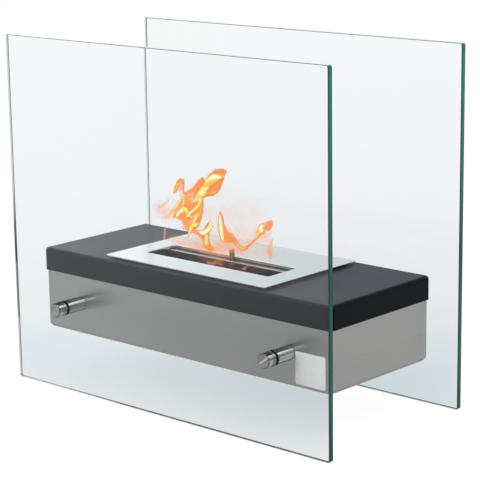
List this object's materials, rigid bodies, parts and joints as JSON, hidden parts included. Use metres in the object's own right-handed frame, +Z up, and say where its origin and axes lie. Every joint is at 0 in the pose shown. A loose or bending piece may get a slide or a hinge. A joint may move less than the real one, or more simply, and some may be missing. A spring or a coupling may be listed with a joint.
{
  "type": "bioethanol fireplace",
  "caption": "Table-top bioethanol fireplace: stainless box with a black lid and a drop-in burner with sliding damper, hung between clear glass panels on standoffs.",
  "frame": {"origin": "on the ground, under the middle of the object's box", "axes": "+X along the glass to the right, +Y from the front panel to the rear one, +Z up"},
  "size_m": [0.35, 0.186, 0.3],
  "materials": {
    "clear_glass": "polished, clear with a green edge",
    "brushed_steel": "lengthwise brushed",
    "bright_steel": "fine satin",
    "satin_steel": "turned, satin",
    "burner_steel": "mill finish with heat tint",
    "zinc_steel": "zinc plated",
    "black_powder_coat": "satin powder coat",
    "black_rubber": "matt",
    "clear_plastic": "translucent",
    "white_label": "smooth film",
    "ceramic_fibre": "soft, sooted"
  },
  "bodies": {
    "frame": {"glass_front": "clear_glass", "glass_rear": "clear_glass", "housing_shell": "brushed_steel", "base_plate": "brushed_steel", "base_screws": "zinc_steel", "base_nuts": "zinc_steel", "lid": "black_powder_coat", "lid_studs": "zinc_steel", "lid_nuts": "zinc_steel", "standoff_barrels": "satin_steel", "standoff_gaskets": "black_rubber", "glass_bushes": "clear_plastic", "cap_washers": "satin_steel", "standoff_caps": "satin_steel", "standoff_studs": "zinc_steel", "weld_nuts": "zinc_steel", "blank_label": "white_label"},
    "burner": {"burner_flange": "bright_steel", "burner_jacket": "burner_steel", "fuel_cup": "burner_steel", "fibre_pad": "ceramic_fibre", "pad_screen": "burner_steel", "damper_guides": "burner_steel"},
    "damper": {"damper_plate": "bright_steel", "damper_pin": "bright_steel", "damper_nut": "zinc_steel"}
  },
  "joints": [
    {"name": "burner_lift", "type": "slide", "parent": "frame", "child": "burner", "axis": [0, 0, 1], "range_m": [0, 0.06]},
    {"name": "damper_slide", "type": "slide", "parent": "burner", "child": "damper", "axis": [0, -1, 0], "range_m": [0, 0.03]}
  ]
}
